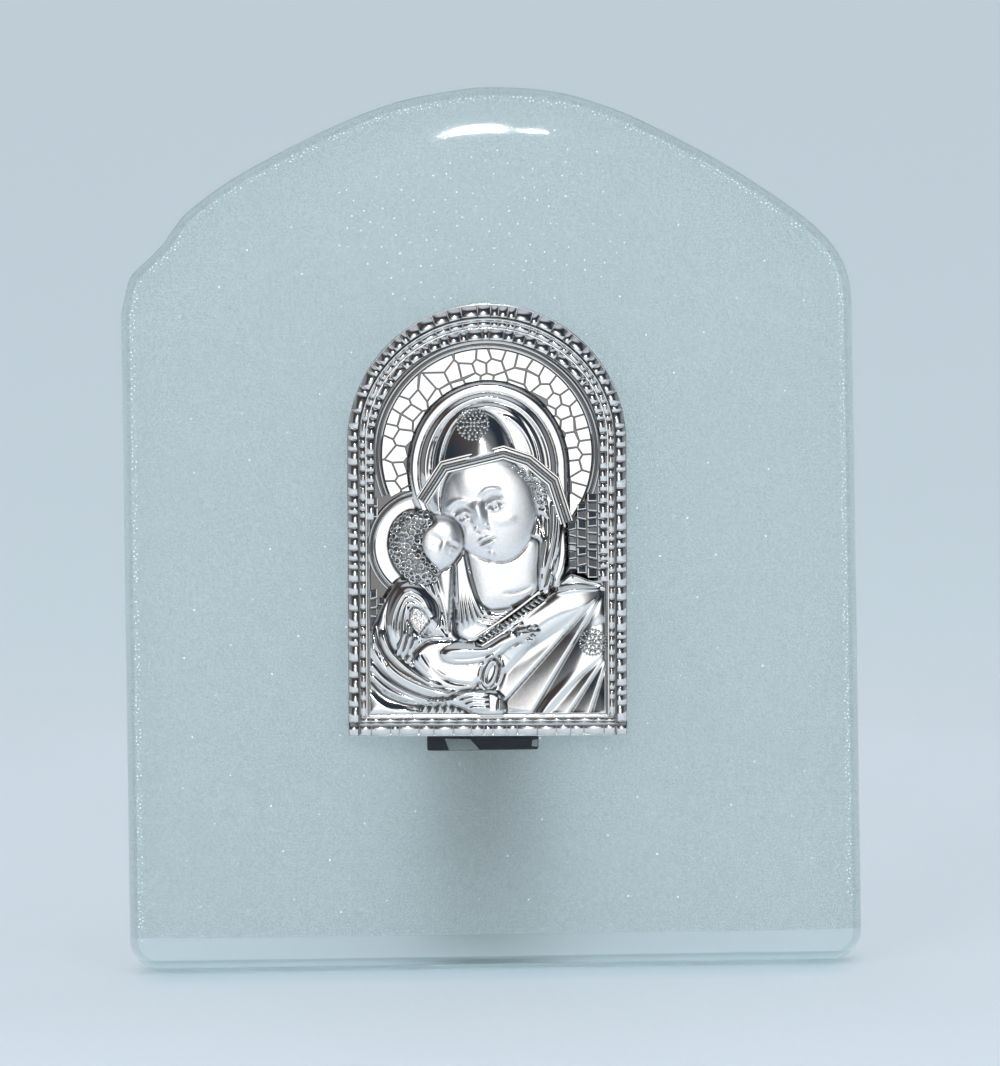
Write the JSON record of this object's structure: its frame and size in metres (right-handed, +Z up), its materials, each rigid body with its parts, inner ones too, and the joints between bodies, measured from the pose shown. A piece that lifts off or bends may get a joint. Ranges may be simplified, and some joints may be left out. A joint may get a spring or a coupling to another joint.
{
  "type": "icon panel",
  "caption": "Arched glass desk panel with a framed silver relief plate on its front and an easel foot behind, standing tilted back on a table.",
  "frame": {"origin": "on the table, under the middle of the bounding box", "axes": "+Z up, +X to the right seen from the front; the relief faces -Y and the foot reaches towards +Y"},
  "size_m": [0.1586, 0.067, 0.188],
  "materials": {
    "aqua_glass": "glossy in front, frosted behind",
    "polished_silver": "polished, with satin faces and tarnish in the grooves",
    "black_plastic": "satin black"
  },
  "bodies": {
    "root": {"glass_panel": "aqua_glass", "relief_plate": "polished_silver", "stand_foot": "black_plastic"}
  },
  "joints": []
}
